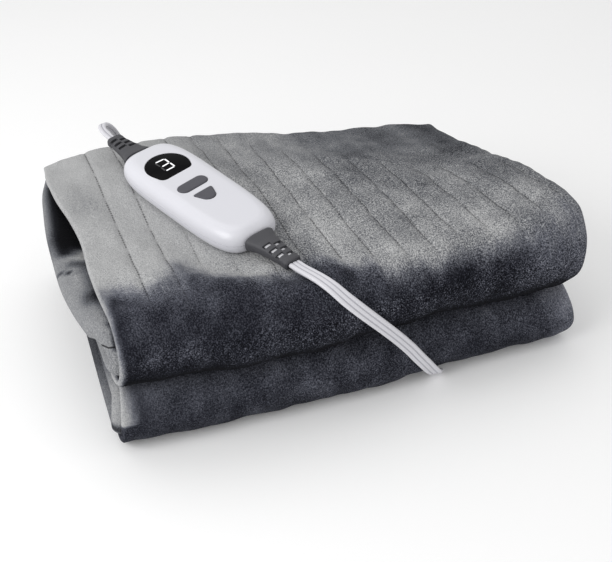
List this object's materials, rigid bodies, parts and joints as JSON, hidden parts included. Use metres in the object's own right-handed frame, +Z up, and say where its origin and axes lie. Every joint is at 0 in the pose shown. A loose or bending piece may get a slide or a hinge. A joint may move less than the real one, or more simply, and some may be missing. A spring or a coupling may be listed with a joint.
{
  "type": "folded electric heated blanket",
  "caption": "Plush electric heated blanket folded into a stack, with a white hand controller lying on top, its flat lead and a coiled mains lead with a two-pin plug.",
  "frame": {"origin": "middle of the stack's footprint, on the surface that it lies on", "axes": "+X along the folded front to the right, +Y away from the front, +Z up"},
  "size_m": [0.3996, 0.4008, 0.1393],
  "materials": {
    "plush": "short-pile plush, brushed light on top and dark on the front",
    "shell_white": "satin white",
    "cover_white": "satin white",
    "display_black": "glossy black",
    "button_grey": "matt grey",
    "relief_grey": "matt grey",
    "cord_white": "matt white",
    "plug_white": "satin white",
    "pin_metal": "nickel plated"
  },
  "bodies": {
    "stack": {"blanket": "plush", "controller_base": "shell_white", "controller_cover": "cover_white", "display_window": "display_black", "relief_mains": "relief_grey", "relief_lead": "relief_grey", "lead_cord": "cord_white", "mains_cord": "cord_white", "mains_tail": "cord_white", "mains_coil": "cord_white", "plug_body": "plug_white", "plug_pin_left": "pin_metal", "plug_pin_right": "pin_metal"},
    "pill": {"pill_button": "button_grey"},
    "arrow": {"arrow_button": "button_grey"}
  },
  "joints": [
    {"name": "pill_press", "type": "slide", "parent": "stack", "child": "pill", "axis": [0.0771, 0.1162, -0.9902], "range_m": [0, 0.0008], "stiffness_N_per_m": 1500},
    {"name": "arrow_press", "type": "slide", "parent": "stack", "child": "arrow", "axis": [0.0771, 0.1162, -0.9902], "range_m": [0, 0.0008], "stiffness_N_per_m": 1500}
  ]
}
